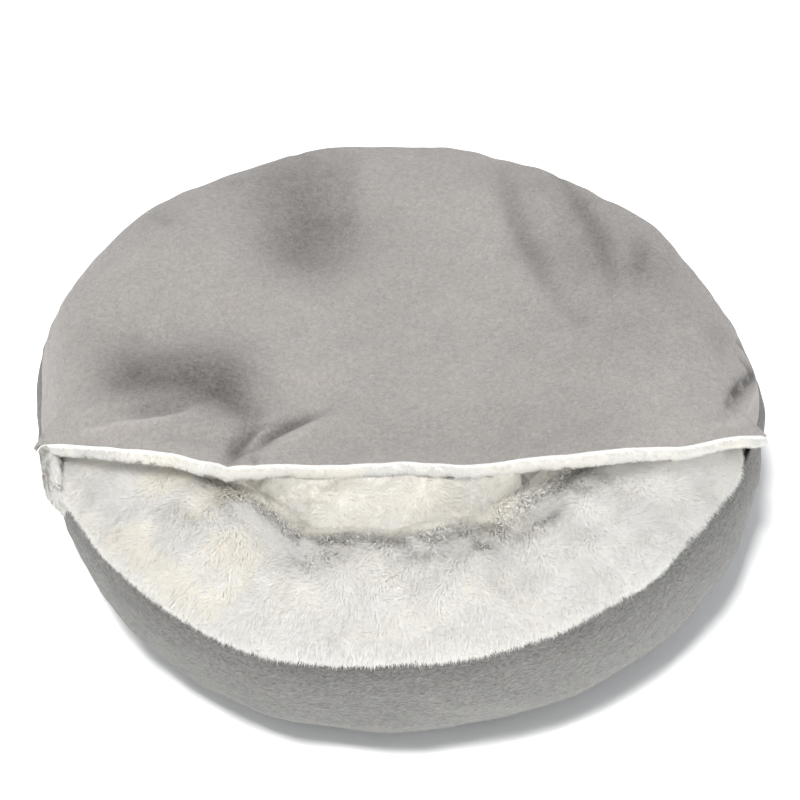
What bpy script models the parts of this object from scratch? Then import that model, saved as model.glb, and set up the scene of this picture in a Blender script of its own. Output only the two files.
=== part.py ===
"""Round hooded pet bed: a stuffed plush ring round a plush cushion, in a suede wall, with a
half hood of suede sewn over the back of the ring and lined with plush that rolls round its hem.

Metres, +Z up. The open front faces -Y. The origin is on the floor under the middle of the ring.
Azimuths are in degrees, anticlockwise from +X. A ring section is walked by its turn, in degrees:
0 points outward, 90 up, 180 inward and -90 down.
"""
import math

import bmesh
import bpy
from mathutils import Vector

# ---- driving dimensions ----
RING_RADIUS = 0.220         # middle of the bed to the middle of the stuffed ring
RING_HALF_WIDTH = 0.080     # the ring's section, out to the tips of the pile
RING_RISE = 0.086           # from the section's widest level up to its crown
RING_DROP = 0.0868          # and down to its foot
RING_LEVEL = 0.090          # height of the section's widest level
FOOT_POWER = 0.9            # under 1 squares the lower half of the section
BASE_RADIUS = 0.246
BASE_THICKNESS = 0.0025
SUEDE = 0.0026              # suede and its backing
PLY_GAP = 0.0005            # between two layers of the hood
SKIN_GAP = 0.0004           # between the wall and the filling behind it
WALL_FOOT = -78.0           # turn at which the wall is sewn to the base
SEAM_TURN = 25.0            # turn of the seam where wall, plush and hood meet
HOOD_TURN = 25.7            # the hood's sewn edge, just above the wall's
HANG_FROM = 6.0             # degrees in from the hood's ends before the pile hangs over the wall
CUSHION_RADIUS = 0.136
CUSHION_TOP = 0.088
CUSHION_MIDDLE = 0.046      # height at which the cushion is widest
CUSHION_FOOT = 0.0031

HOOD_STAND = 0.0135         # hood's outer face above the ring's pile
SEAM_STAND = 0.0004         # and above the wall's outer face, along the seam
LINING = 0.0080             # backing and pile of the hood's lining
LINING_AT_SEAM = 0.0016
HEM_LIFT = 0.0030           # the rolled hem holds the hood's edge up
LIFT_FROM = 0.75            # part of the way out at which the hood starts to rise to its hem
FLATTEN_FROM = 0.80         # and at which it starts to flatten towards its seam
HOOD_SAG = 0.018            # droop at the middle of the hood
PRESSED = 0.0075            # the hood presses the ring's pile down by this
HOOD_CLEAR = 0.0015         # least gap between the lining and the ring
SHOULDER = 0.096            # arc length over the ring for each radian of turn
CORNER_FADE = 5.0           # degrees over which the open front passes into the hood

# ---- how finely each piece is divided ----
RING_COLUMNS = 72
CUSHION_COLUMNS = 40
CUSHION_LEVELS = 14
HOOD_RINGS = 13
# Hood columns: from azimuth, to azimuth, count. They crowd where the hem turns down at the left.
COLUMN_SPANS = (
    (-13.0, 180.0, 34),
    (180.0, 214.0, 13),
    (214.0, 327.0, 19),
    (327.0, 347.0, 6),
)

# ---- unevenness, in rows ----
# The ring round its azimuth: extra width of its outer side above and below the widest level and
# of its inner side, extra height of the crown, and how far round its section the seam is raised.
RING_ROWS = (
    ("azimuth", "upper", "lower", "inner", "crown", "seam"),
    (0.0, 0.012, 0.006, 0.000, 0.000, 0.0),
    (15.0, 0.005, 0.003, 0.000, 0.000, 0.0),
    (40.0, -0.003, 0.000, 0.000, 0.000, 0.0),
    (90.0, -0.003, 0.000, 0.000, -0.002, 0.0),
    (112.0, 0.000, 0.000, 0.000, -0.001, 0.0),
    (140.0, 0.009, 0.004, 0.000, 0.000, 0.0),
    (168.0, 0.011, 0.004, 0.000, 0.000, 0.0),
    (182.0, 0.000, 0.000, 0.000, 0.000, 0.0),
    (192.0, -0.001, -0.006, 0.000, 0.000, 0.0),
    (204.0, -0.006, -0.019, 0.000, 0.000, 0.0),
    (218.0, -0.003, -0.011, -0.004, 0.000, 3.5),
    (234.0, 0.000, -0.006, -0.008, -0.003, 4.0),
    (250.0, 0.002, 0.001, -0.013, -0.009, 2.5),
    (270.0, 0.000, -0.002, -0.009, -0.007, 6.0),
    (292.0, 0.001, 0.000, -0.004, -0.005, 8.0),
    (312.0, 0.003, 0.004, -0.002, 0.000, 10.0),
    (330.0, 0.006, 0.007, 0.000, 0.000, 10.0),
    (345.0, 0.007, 0.007, 0.000, 0.000, 2.0),
)
# Gathers across the top of the ring: azimuth, half width in degrees, depth, first and last turn.
CREASE_ROWS = (
    ("azimuth", "spread", "depth", "first", "last"),
    (293.0, 5.0, 0.007, 55.0, 150.0),
    (250.0, 5.0, 0.005, 70.0, 150.0),
    (222.0, 6.0, 0.003, 60.0, 140.0),
)
# How far the pile stands out over the seam where no hood covers it.
LIP_ROWS = (
    ("azimuth", "lip"),
    (199.0, 0.0050),
    (203.0, 0.0070),
    (208.0, 0.0030),
    (225.0, 0.0060),
    (310.0, 0.0060),
    (338.0, 0.0030),
    (347.0, 0.0040),
)
# The free edge at its two corners: the column it ends, its azimuth, and how far it reaches
# along the cloth from the middle of the hood. The nearly straight hem lies between them.
LEFT_CORNER_ROWS = (
    ("column", "azimuth", "reach"),
    (194.0, 196.5, 0.3280),
    (198.0, 197.8, 0.3110),
    (203.0, 202.0, 0.2900),
    (208.5, 207.5, 0.2665),
    (216.0, 215.5, 0.2346),
)
RIGHT_CORNER_ROWS = (
    ("column", "azimuth", "reach"),
    (327.0, 327.0, 0.2402),
    (333.0, 332.8, 0.2668),
    (339.5, 340.3, 0.2980),
    (344.5, 345.5, 0.3220),
    (347.0, 347.0, 0.3280),
)
# How far in front of the middle the hem runs.
HEM_LINE_ROWS = (
    ("azimuth", "line"),
    (215.5, 0.1355),
    (228.0, 0.1425),
    (238.0, 0.1380),
    (247.0, 0.1330),
    (270.0, 0.1345),
    (298.0, 0.1345),
    (313.0, 0.1400),
    (322.0, 0.1360),
    (327.0, 0.1295),
)
SWING_FROM = 165.0          # seam columns past this azimuth swing forward to the left corner
SWING_PART = 0.8            # and the swing happens past this part of their length
EDGE_STEP = 1.5             # half the width of edge, in degrees, that the hem's direction is read over
# Troughs (depth over 0) and ridges (under 0) of the hood, from one point of the flat cloth
# to another, with the distance over which they fade.
FOLD_ROWS = (
    ("x0", "y0", "x1", "y1", "fade", "depth"),
    (-0.205, -0.010, -0.150, 0.020, 0.030, 0.011),
    (-0.235, -0.085, -0.150, -0.062, 0.016, -0.004),
    (-0.130, -0.118, -0.100, -0.060, 0.014, 0.005),
    (-0.112, -0.120, -0.050, -0.055, 0.014, 0.004),
    (-0.078, 0.125, -0.070, 0.150, 0.045, 0.009),
    (0.095, 0.235, 0.150, 0.040, 0.022, 0.006),
    (0.140, 0.205, 0.172, 0.080, 0.020, 0.005),
    (0.300, 0.020, 0.262, -0.050, 0.018, 0.005),
    (-0.110, -0.125, 0.060, -0.125, 0.060, 0.008),
)


def smooth(start, end, value):
    """0 below start, 1 above end, and a smooth step between them."""
    part = min(1.0, max(0.0, (value - start) / (end - start)))
    return part * part * (3.0 - 2.0 * part)


def read_rows(rows, value, turns=False):
    """The columns of a table at a value of its first column, on smooth curves through its rows.

    With turns, the first column is an azimuth and the curves close on themselves.
    """
    names, data = rows[0], list(rows[1:])
    if turns:
        value = value % 360.0
        before = (data[-1][0] - 360.0,) + data[-1][1:]
        after = [(row[0] + 360.0,) + row[1:] for row in data[:2]]
        data = [before] + data + after
    value = min(max(value, data[0][0]), data[-1][0])
    low = max(index for index in range(len(data) - 1) if data[index][0] <= value)
    span = data[low + 1][0] - data[low][0]
    part = (value - data[low][0]) / span
    made = {}
    for at, name in enumerate(names):
        slopes = []
        for row in (low, low + 1):
            first, last = data[max(row - 1, 0)], data[min(row + 1, len(data) - 1)]
            slopes.append(span * (last[at] - first[at]) / (last[0] - first[0]))
        start, end = data[low][at], data[low + 1][at]
        made[name] = (start + slopes[0] * part
                      + (3.0 * (end - start) - 2.0 * slopes[0] - slopes[1]) * part ** 2
                      + (2.0 * (start - end) + slopes[0] + slopes[1]) * part ** 3)
    return made


def row_dicts(rows):
    return [dict(zip(rows[0], row)) for row in rows[1:]]


def crease_depth(azimuth, turn):
    """How far the gathers pull the ring's top in at a point of its section."""
    depth = 0.0
    for row in row_dicts(CREASE_ROWS):
        apart = (azimuth - row["azimuth"] + 180.0) % 360.0 - 180.0
        along = smooth(row["first"] - 20, row["first"] + 20, turn)
        along *= 1.0 - smooth(row["last"] - 20, row["last"] + 20, turn)
        depth += row["depth"] * along * math.exp(-(apart / row["spread"]) ** 2)
    return depth


def ring_point(azimuth, turn, swell=0.0):
    """A point of the stuffed ring's outline, swollen outward along its section by swell."""
    row = read_rows(RING_ROWS, azimuth, turns=True)
    turn += row["seam"] * smooth(-60.0, 15.0, turn) * smooth(80.0, 35.0, turn)
    out, up = math.cos(math.radians(turn)), math.sin(math.radians(turn))
    power = FOOT_POWER if up < 0 else 1.0
    wide = math.copysign(abs(out) ** power, out) * (RING_HALF_WIDTH + swell)
    high = math.copysign(abs(up) ** power, up)
    high *= (RING_RISE + row["crown"] if up > 0 else RING_DROP) + swell
    side = row["upper"] + (row["lower"] - row["upper"]) * smooth(0.35, -0.65, up)
    radius = RING_RADIUS + wide + (side if out > 0 else row["inner"]) * out
    angle = math.radians(azimuth)
    return Vector((radius * math.cos(angle), radius * math.sin(angle), RING_LEVEL + high))


# ---- the hood's cloth, laid over the ring ----

def flat_point(azimuth, reach):
    """A point of the cloth laid flat."""
    angle = math.radians(azimuth)
    return Vector((reach * math.cos(angle), reach * math.sin(angle)))


def fold_depth(azimuth, reach):
    """Depth of the hood's folds at a point of the flat cloth."""
    point = flat_point(azimuth, reach)
    depth = 0.0
    for row in row_dicts(FOLD_ROWS):
        start, end = Vector((row["x0"], row["y0"])), Vector((row["x1"], row["y1"]))
        run = end - start
        part = min(1.0, max(0.0, (point - start).dot(run) / run.length_squared))
        gap = (point - start - run * part).length
        depth += row["depth"] * math.exp(-(gap / row["fade"]) ** 2)
    return depth


def open_front(azimuth, inset=0.0):
    """0 where the hood is sewn over the ring, 1 along the open front, inset degrees inside it."""
    left, right = LEFT_CORNER_ROWS[1][1] + inset, RIGHT_CORNER_ROWS[-1][1] - inset
    azimuth = azimuth % 360.0
    opened = smooth(left, left + CORNER_FADE, azimuth)
    return opened * (1.0 - smooth(right - CORNER_FADE, right, azimuth))


def hood_sag(reach):
    """Droop of the hood inside the ring's crown."""
    across = min(1.0, reach / RING_RADIUS)
    return HOOD_SAG * (1.0 - across * across) ** 2


def hood_point(azimuth, reach, stand):
    """A point of the hood, reach along the cloth from its middle and stand above the pile."""
    if reach > RING_RADIUS:
        turn = 90.0 - math.degrees((reach - RING_RADIUS) / SHOULDER)
        return ring_point(azimuth, turn, stand)
    crown = ring_point(azimuth, 90.0, stand).z
    middle = RING_LEVEL + RING_RISE + stand
    angle = math.radians(azimuth)
    height = middle + (crown - middle) * smooth(0.0, RING_RADIUS, reach) - hood_sag(reach)
    return Vector((reach * math.cos(angle), reach * math.sin(angle), height))


def lowest_stand(azimuth, reach, layers):
    """The least height above the pile at which layers of cloth clear the ring."""
    inward = min(1.0, max(0.0, RING_RADIUS - reach) / RING_HALF_WIDTH)
    fall = RING_RISE * (1.0 - math.sqrt(1.0 - inward * inward))
    return layers + HOOD_CLEAR - PRESSED * (1.0 - open_front(azimuth)) - fall + hood_sag(reach)


def reach_at(radius):
    """Reach along the cloth at a distance from the middle, as seen from above."""
    over = max(0.0, radius - RING_RADIUS) / (RING_HALF_WIDTH + HOOD_STAND)
    return min(radius, RING_RADIUS) + SHOULDER * math.asin(over)


def column_edge(column):
    """Where a hood column ends: its azimuth, its reach, and 1 on the free edge or 0 on the seam."""
    left = {"first": LEFT_CORNER_ROWS[1][0], "last": LEFT_CORNER_ROWS[-1][0]}
    right = {"first": RIGHT_CORNER_ROWS[1][0], "last": RIGHT_CORNER_ROWS[-1][0]}
    if left["first"] <= column <= left["last"]:
        row = read_rows(LEFT_CORNER_ROWS, column)
        return row["azimuth"], row["reach"], smooth(left["first"], left["first"] + 2.0, column)
    if right["first"] <= column <= right["last"]:
        row = read_rows(RIGHT_CORNER_ROWS, column)
        return row["azimuth"], row["reach"], 1.0 - smooth(right["last"] - 2.0, right["last"], column)
    if left["last"] < column < right["first"]:
        part = (column - left["last"]) / (right["first"] - left["last"])
        ends = LEFT_CORNER_ROWS[-1][1], RIGHT_CORNER_ROWS[1][1]
        azimuth = ends[0] + (ends[1] - ends[0]) * part
        line = read_rows(HEM_LINE_ROWS, azimuth)["line"]
        return azimuth, reach_at(line / abs(math.sin(math.radians(azimuth)))), 1.0
    swing = LEFT_CORNER_ROWS[1][1] - LEFT_CORNER_ROWS[1][0]
    part = max(0.0, (column - SWING_FROM) / (left["first"] - SWING_FROM))
    seam = RING_RADIUS + SHOULDER * math.radians(90.0 - HOOD_TURN)
    return column + swing * part * part, seam, 0.0


def hood_columns():
    columns = []
    for start, end, count in COLUMN_SPANS:
        columns += [start + (end - start) * step / count for step in range(count)]
    return columns


class HoodColumn:
    """One column of the hood, from its middle out to the seam or the hem."""

    def __init__(self, column):
        self.column = column
        self.azimuth, self.reach, self.free = column_edge(column)
        before = flat_point(*column_edge(column - EDGE_STEP)[:2])
        after = flat_point(*column_edge(column + EDGE_STEP)[:2])
        self.outward = Vector((after.y - before.y, before.x - after.x)).normalized()

    def past_edge(self, distance, above):
        """A point of the rolled hem, past the suede's edge and above its outer face."""
        flat = flat_point(self.azimuth, self.reach) + self.outward * distance
        azimuth = math.degrees(math.atan2(flat.y, flat.x))
        return hood_point(azimuth, flat.length, self.stand(1.0) + above)

    def place(self, part):
        """Azimuth and reach of a point part of the way along the column."""
        swing = max(0.0, (part - SWING_PART) / (1.0 - SWING_PART)) ** 2
        azimuth = self.column + (self.azimuth - self.column) * swing
        return azimuth, self.reach * part

    def seam_share(self, part):
        """0 over the top and on the free edge, rising to 1 at the seam."""
        return smooth(FLATTEN_FROM, 1.0, part) * (1.0 - self.free)

    def thickness(self, part):
        """Thickness of the lining."""
        return LINING + (LINING_AT_SEAM - LINING) * self.seam_share(part)

    def stand(self, part):
        """Height of the hood's outer face above the pile, with its folds."""
        azimuth, reach = self.place(part)
        rise = HOOD_STAND + HEM_LIFT * self.free * smooth(LIFT_FROM, 1.0, part)
        layers = SUEDE + PLY_GAP + self.thickness(part)
        folded = max(rise - fold_depth(azimuth, reach), lowest_stand(azimuth, reach, layers))
        return folded + (SEAM_STAND - folded) * self.seam_share(part)

    def point(self, part, below=0.0):
        """A point of the hood, below its outer face."""
        azimuth, reach = self.place(part)
        return hood_point(azimuth, reach, self.stand(part) - below)


# ---- building ----

def new_material(name, colour, roughness):
    material = bpy.data.materials.new(name)
    material.use_nodes = True
    shader = material.node_tree.nodes["Principled BSDF"]
    shader.inputs["Base Color"].default_value = (*colour, 1.0)
    shader.inputs["Roughness"].default_value = roughness
    shader.inputs["Metallic"].default_value = 0.0
    return material


def finish(name, mesh, material, collection):
    """Split the quads along their shorter diagonal, smooth the shading and link the object."""
    body = bmesh.new()
    body.from_mesh(mesh)
    bmesh.ops.triangulate(body, faces=body.faces, quad_method="SHORT_EDGE")
    body.to_mesh(mesh)
    body.free()
    mesh.shade_smooth()
    mesh.materials.clear()
    mesh.materials.append(material)
    part = bpy.data.objects.new(name, mesh)
    collection.objects.link(part)
    return part


def torus_mesh(name, sections, place):
    """A torus whose section points are placed by place(azimuth, section)."""
    bpy.ops.mesh.primitive_torus_add(major_segments=RING_COLUMNS, minor_segments=len(sections))
    made = bpy.context.object
    mesh = made.data
    mesh.name = name
    for index, vertex in enumerate(mesh.vertices):
        azimuth = 360.0 * (index // len(sections)) / RING_COLUMNS
        vertex.co = place(azimuth, sections[index % len(sections)])
    bpy.data.objects.remove(made)
    return mesh


def sphere_mesh(name, columns, levels, place):
    """A ball whose points are placed by place(column number, level), level 0 at its top."""
    body = bmesh.new()
    bmesh.ops.create_uvsphere(body, u_segments=columns, v_segments=levels, radius=1.0)
    for vertex in body.verts:
        level = round(math.acos(max(-1.0, min(1.0, vertex.co.z))) / math.pi * levels)
        column = round(math.atan2(vertex.co.y, vertex.co.x) / (2.0 * math.pi) * columns) % columns
        vertex.co = place(column, level)
    mesh = bpy.data.meshes.new(name)
    body.to_mesh(mesh)
    body.free()
    return mesh


def make_base(collection):
    """The round suede bottom, flat on the floor."""
    bpy.ops.mesh.primitive_cylinder_add(
        vertices=RING_COLUMNS, radius=BASE_RADIUS, depth=BASE_THICKNESS,
        location=(0.0, 0.0, BASE_THICKNESS / 2))
    made = bpy.context.object
    made.name = "base_panel"
    made.data.materials.append(new_material("suede_base", (0.30, 0.29, 0.27), 0.9))
    for old in list(made.users_collection):
        old.objects.unlink(made)
    collection.objects.link(made)


WALL_TURNS = (WALL_FOOT, -62.0, -45.0, -27.0, -10.0, 8.0, SEAM_TURN)


def make_wall(collection):
    """The suede band from the base up to the seam: outer face up, inner face back down."""
    sections = [(turn, 0.0) for turn in WALL_TURNS]
    sections += [(turn, -SUEDE) for turn in reversed(WALL_TURNS)]
    mesh = torus_mesh("wall_panel", sections, lambda azimuth, at: ring_point(azimuth, *at))
    return finish("wall_panel", mesh, new_material("suede_wall", (0.33, 0.32, 0.30), 0.9), collection)


# The ring's section at the seam. Along the open front: turn, swell, share of the lip added to
# the swell, and degrees that the pile hangs over the wall. Under the hood: turn and swell.
BEHIND_WALL = -SUEDE - SKIN_GAP
PILE_ROWS = (
    ("turn", "swell", "lip", "hang", "hood_turn", "hood_swell"),
    (SEAM_TURN, BEHIND_WALL, 0.0, 0.0, SEAM_TURN - 4.5, BEHIND_WALL - 0.0013),
    (SEAM_TURN + 1.6, BEHIND_WALL, 0.0, 0.0, SEAM_TURN - 1.5, BEHIND_WALL - 0.0032),
    (SEAM_TURN + 1.6, 0.0006, 0.0, 0.0, SEAM_TURN + 2.5, -PRESSED),
    (SEAM_TURN + 2.0, 0.0014, 0.0, 5.5, SEAM_TURN + 6.0, -PRESSED),
    (SEAM_TURN + 5.0, 0.0, 1.0, 6.0, SEAM_TURN + 10.0, -PRESSED),
    (SEAM_TURN + 12.0, 0.0, 1.0, 6.0, SEAM_TURN + 16.0, -PRESSED),
    (52.0, 0.0, 0.2, 2.0, 54.0, -PRESSED),
)


def make_bolster(collection):
    """The stuffed ring: set back behind the wall, its pile hanging over the seam in front."""
    rows = [(turn, BEHIND_WALL, 0.0, 0.0, turn, BEHIND_WALL) for turn in WALL_TURNS[:-1]]
    rows += PILE_ROWS[1:]
    rows += [(turn, 0.0, 0.0, 0.0, turn, -PRESSED) for turn in (70, 88, 105, 122, 139)]
    rows += [(turn, 0.0, 0.0, 0.0, turn, -PRESSED / 2) for turn in (156, 173)]
    rows += [(turn, 0.0, 0.0, 0.0, turn, 0.0) for turn in (192, 212, 235, 258, 270)]

    def place(azimuth, row):
        at = dict(zip(PILE_ROWS[0], row))
        lip = read_rows(LIP_ROWS, azimuth)["lip"]
        turn = at["turn"] - at["hang"] * open_front(azimuth, HANG_FROM)
        swell = at["swell"] + at["lip"] * lip
        cover = 1.0 - open_front(azimuth)
        turn += (at["hood_turn"] - turn) * cover
        swell += (at["hood_swell"] - swell) * cover
        return ring_point(azimuth, turn, swell - crease_depth(azimuth, turn))

    mesh = torus_mesh("bolster", rows, place)
    return finish("bolster", mesh, new_material("plush_ring", (0.80, 0.79, 0.75), 1.0), collection)


def make_cushion(collection):
    """The filled centre cushion: crowned, drawn in at the sides and flat underneath."""
    def place(column, level):
        angle = 2.0 * math.pi * column / CUSHION_COLUMNS
        fall = math.pi * level / CUSHION_LEVELS
        radius = CUSHION_RADIUS * math.sin(fall) ** 0.6
        up = math.cos(fall)
        if up > 0:
            height = CUSHION_MIDDLE + (CUSHION_TOP - CUSHION_MIDDLE) * up ** 0.9
        else:
            height = CUSHION_MIDDLE - (CUSHION_MIDDLE - CUSHION_FOOT) * (-up) ** 0.45
        return Vector((radius * math.cos(angle), radius * math.sin(angle), height))

    mesh = sphere_mesh("cushion", CUSHION_COLUMNS, CUSHION_LEVELS, place)
    return finish("cushion", mesh, new_material("plush_cushion", (0.80, 0.77, 0.70), 1.0), collection)


def make_hood_shell(collection, columns):
    """The suede sheet of the hood."""
    levels = 2 * HOOD_RINGS + 1

    def place(column, level):
        if level <= HOOD_RINGS:
            return columns[column].point(level / HOOD_RINGS)
        return columns[column].point((levels - level) / HOOD_RINGS, SUEDE)

    mesh = sphere_mesh("hood_shell", len(columns), levels, place)
    return finish("hood_shell", mesh, new_material("suede_hood", (0.40, 0.39, 0.36), 0.9), collection)


# Section of the rolled hem, round from the lining's upper face to its lower face:
# distance past the suede's edge, and height above the suede's outer face.
HEM_ROWS = (
    ("past", "above"),
    (0.0018, -0.0026),
    (0.0022, 0.0008),
    (0.0050, 0.0016),
    (0.0085, -0.0020),
    (0.0090, -0.0080),
    (0.0055, -0.0125),
)


def make_hood_lining(collection, columns):
    """The plush lining, which rolls round the hem and shows along the hood's free edge."""
    rolls = row_dicts(HEM_ROWS)
    levels = 2 * HOOD_RINGS + len(rolls) + 1

    def place(column, level):
        at = columns[column]
        if level <= HOOD_RINGS:
            return at.point(level / HOOD_RINGS, SUEDE + PLY_GAP)
        if level > HOOD_RINGS + len(rolls):
            part = (levels - level) / HOOD_RINGS
            return at.point(part, SUEDE + PLY_GAP + at.thickness(part))
        step = level - HOOD_RINGS
        share = step / (len(rolls) + 1)
        seam_side = at.point(1.0, SUEDE + PLY_GAP + at.thickness(1.0) * share)
        hem_side = at.past_edge(rolls[step - 1]["past"], rolls[step - 1]["above"])
        return seam_side.lerp(hem_side, at.free)

    mesh = sphere_mesh("hood_lining", len(columns), levels, place)
    return finish("hood_lining", mesh, new_material("plush_lining", (0.80, 0.79, 0.75), 1.0), collection)


def main():
    for old in list(bpy.data.objects):
        bpy.data.objects.remove(old)
    collection = bpy.data.collections.new("hooded_pet_bed")
    bpy.context.scene.collection.children.link(collection)
    columns = [HoodColumn(column) for column in hood_columns()]
    make_base(collection)
    make_wall(collection)
    make_bolster(collection)
    make_cushion(collection)
    make_hood_shell(collection, columns)
    make_hood_lining(collection, columns)


main()
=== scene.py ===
"""Looks of the round hooded pet bed: suede hood, wall and base, plush ring, cushion and hem.

Metres, in the frame's axes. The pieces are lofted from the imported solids. Azimuths are in
degrees, anticlockwise from +X, and the open front faces -Y. A ring section is walked by its
turn, in degrees: 0 points outward, 90 up, 180 inward and -90 down.
"""
import math

import bmesh
import bpy
import numpy as np
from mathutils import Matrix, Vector
from mathutils.bvhtree import BVHTree


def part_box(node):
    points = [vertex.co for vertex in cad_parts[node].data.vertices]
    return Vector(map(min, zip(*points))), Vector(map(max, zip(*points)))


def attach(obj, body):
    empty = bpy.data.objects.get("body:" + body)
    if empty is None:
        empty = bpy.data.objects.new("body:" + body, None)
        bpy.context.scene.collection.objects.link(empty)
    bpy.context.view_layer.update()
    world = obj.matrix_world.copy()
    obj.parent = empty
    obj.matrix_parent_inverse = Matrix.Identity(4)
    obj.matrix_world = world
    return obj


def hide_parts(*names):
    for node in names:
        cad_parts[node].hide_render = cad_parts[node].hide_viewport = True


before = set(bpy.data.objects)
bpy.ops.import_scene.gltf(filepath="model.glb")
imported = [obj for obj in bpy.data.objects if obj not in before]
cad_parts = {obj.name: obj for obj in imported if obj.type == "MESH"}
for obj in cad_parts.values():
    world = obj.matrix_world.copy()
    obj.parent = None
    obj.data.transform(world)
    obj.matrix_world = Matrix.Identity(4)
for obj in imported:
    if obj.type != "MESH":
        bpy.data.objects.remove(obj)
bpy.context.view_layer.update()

# ---- how the solids are laid out ----
COLUMNS = 72                    # columns of the ring, wall and hood
HOOD_RINGS = 13                 # levels of the hood from its middle to its edge
RING_RADIUS = 0.220             # middle line of the stuffed ring
RING_LEVEL = 0.090
SEAM_TURN = 25.0                # turn of the seam where wall, plush and hood meet
WALL_RADIUS = 0.29              # usual distance of the wall from the bed's axis
WALL_HEIGHT = 0.16
SECTION_RADIUS = 0.083          # about the distance of the ring's face from its middle line
CORNERS = (197.5, 346.0)        # azimuths of the hood's left and right corners
EVERYWHERE, NOWHERE = -400.0, 400.0     # turns that all of the ring is past, and none of it

# ---- cloth and pile ----
SUEDE = 0.0022                  # thickness of the suede sheets
RING_PILE = 0.0080              # depth of the ring's pile, and the undercoat's inset
CUSHION_PILE = 0.0065

# ---- how finely the pieces are drawn ----
HEM_COLUMNS = 4 * COLUMNS
FINE_COLUMNS = 6 * COLUMNS      # columns of the ring's and wall's pieces
TURN_STEP = 3.0                 # degrees between the places where the ring's face is read
EDGE_COLUMNS = 8 * COLUMNS      # columns of the hood at its edge
HOOD_GIRTH = 2.060              # a little over the length of the hood's edge
HOOD_STEP = 0.005               # the widest its columns may lie apart


# ---- smooth functions ----

def smooth(start, end, value):
    """0 before start, 1 past end, and a smooth step between them."""
    part = np.clip((np.asarray(value, float) - start) / (end - start), 0.0, 1.0)
    return part * part * (3.0 - 2.0 * part)


def bell(value, width):
    return np.exp(-(value / width) ** 2)


def unit(vectors):
    return vectors / np.maximum(np.linalg.norm(vectors, axis=-1, keepdims=True), 1e-12)


def azimuth_of(points):
    return np.degrees(np.arctan2(points[..., 1], points[..., 0])) % 360.0


def round_axis(angle, radius, height):
    """Points from their angle round the bed's axis in radians, distance from it and height."""
    return np.stack([radius * np.cos(angle), radius * np.sin(angle), height + 0.0 * angle], axis=-1)


def directions(points):
    """Unit vectors outward from the bed's axis at points, and anticlockwise round it."""
    out = round_axis(np.radians(azimuth_of(points)), 1.0, 0.0)
    return out, out[:, [1, 0, 2]] * np.array([-1.0, 1.0, 1.0])


def turn_of(points):
    """Turn of each point round the ring's section, from -90 to 270."""
    out = np.hypot(points[..., 0], points[..., 1]) - RING_RADIUS
    return (np.degrees(np.arctan2(points[..., 2] - RING_LEVEL, out)) + 90.0) % 360.0 - 90.0


def seam_shift(azimuth):
    """How much further round than its usual turn the wall's top runs, in degrees."""
    return np.interp(np.asarray(azimuth) % 360.0, np.arange(COLUMNS) * 360.0 / COLUMNS,
                     turn_of(WALL_GRID[0]) - SEAM_TURN, period=360.0)


def stroke(points, start, run):
    """How far along a straight run each point lies, from 0 to 1, and how far off it."""
    part = np.clip((points - start) @ run / (run @ run), 0.0, 1.0)
    return part, np.linalg.norm(points - start - part[:, None] * run, axis=1)


def open_front(azimuth, fade=5.0):
    """1 where the ring is open in front, 0 where the hood is sewn over it."""
    left, right = CORNERS
    azimuth = np.asarray(azimuth, float) % 360.0
    return smooth(left, left + fade, azimuth) * (1.0 - smooth(right - fade, right, azimuth))


class Waves:
    """Seeded smooth unevenness of about one wavelength, with a spread of about 1."""

    def __init__(self, seed, length, stretch=(1.0, 1.0, 1.0)):
        count = 28
        rng = np.random.default_rng(seed)
        directions = unit(rng.normal(size=(count, 3)))
        pitch = rng.uniform(0.6, 1.5, (count, 1)) * 2.0 * math.pi / length
        self.waves = directions * pitch / np.array(stretch)
        self.phases = rng.uniform(0.0, 2.0 * math.pi, count)
        self.scale = math.sqrt(2.0 / count)

    def __call__(self, points):
        return np.sin(points @ self.waves.T + self.phases).sum(-1) * self.scale

    def pull(self, points):
        """Direction in which the unevenness rises."""
        return unit(np.cos(points @ self.waves.T + self.phases) @ self.waves)


def taps(part):
    """Weights of four neighbouring values for a smooth curve through them."""
    return np.stack([-0.5 * part + part ** 2 - 0.5 * part ** 3,
                     1.0 - 2.5 * part ** 2 + 1.5 * part ** 3,
                     0.5 * part + 2.0 * part ** 2 - 1.5 * part ** 3,
                     -0.5 * part ** 2 + 0.5 * part ** 3], axis=-1)


class Loft:
    """A smooth surface through rows of points, whose columns close round."""

    def __init__(self, grid):
        self.grid = grid

    def __call__(self, row, column):
        row, column = np.broadcast_arrays(np.asarray(row, float), np.asarray(column, float))
        rows, columns = self.grid.shape[:2]
        low_row = np.clip(np.floor(row).astype(int), 0, rows - 2)
        low_column = np.floor(column).astype(int)
        along, around = taps(row - low_row), taps(column - low_column)
        total = np.zeros(row.shape + (self.grid.shape[2],))
        for first in range(4):
            near_row = np.clip(low_row + first - 1, 0, rows - 1)
            for second in range(4):
                weight = along[..., first] * around[..., second]
                total += weight[..., None] * self.grid[near_row, (low_column + second - 1) % columns]
        return total


# ---- reading the solids ----

def welded(node):
    """The solid of a node as a bmesh without doubled vertices."""
    body = bmesh.new()
    body.from_mesh(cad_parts[node].data)
    bmesh.ops.remove_doubles(body, verts=body.verts, dist=1e-6)
    return body


def levels_grid(node):
    """Points of a ball-like solid: its levels from the upper middle to the lower, by column."""
    body = welded(node)
    body.verts.index_update()
    points = np.array([v.co for v in body.verts])
    near = {v.index: [edge.other_vert(v).index for edge in v.link_edges] for v in body.verts}
    body.free()
    middle = np.flatnonzero(np.hypot(points[:, 0], points[:, 1]) < 1e-5)
    level = [int(middle[np.argmax(points[middle, 2])])]
    seen, rows = set(), []
    while level:
        seen.update(level)
        rows.append(points[ordered_level(level, points, near)])
        level = sorted({other for at in level for other in near[at]} - seen)
    return np.array(rows)


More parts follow.
